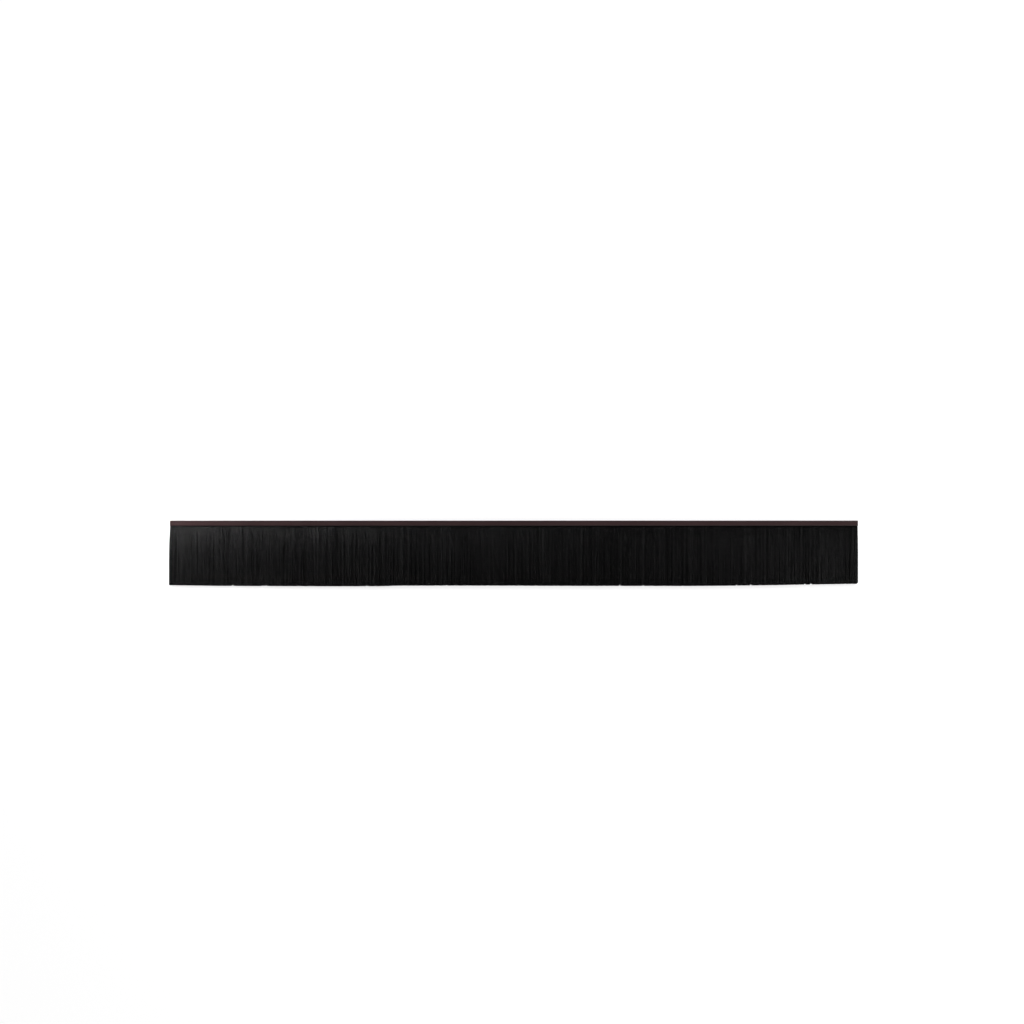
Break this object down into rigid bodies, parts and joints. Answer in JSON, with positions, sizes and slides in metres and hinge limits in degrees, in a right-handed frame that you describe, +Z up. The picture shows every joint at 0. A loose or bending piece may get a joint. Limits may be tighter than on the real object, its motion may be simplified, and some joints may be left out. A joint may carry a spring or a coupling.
{
  "type": "brush seal strip",
  "caption": "Straight brush seal strip: black filaments doubled round a core wire and crimped into a dark brown rolled channel, for closing the gap under or beside a door, hatch or eaves.",
  "frame": {"origin": "middle of the channel's lower side face, on the plane that the strip lies on", "axes": "+X along the strip, +Y out of the channel's closed back, so the bristle tips point to -Y, and +Z up, out of the strip's face"},
  "size_m": [1.0014, 0.0954, 0.008],
  "materials": {
    "channel_coat": "satin dark brown coat on rolled steel",
    "core_wire": "drawn galvanised wire, cut ends",
    "filament": "black extruded polypropylene filament, satin"
  },
  "bodies": {
    "root": {"channel": "channel_coat", "core_wire": "core_wire", "bristle_pack": "filament"}
  },
  "joints": []
}
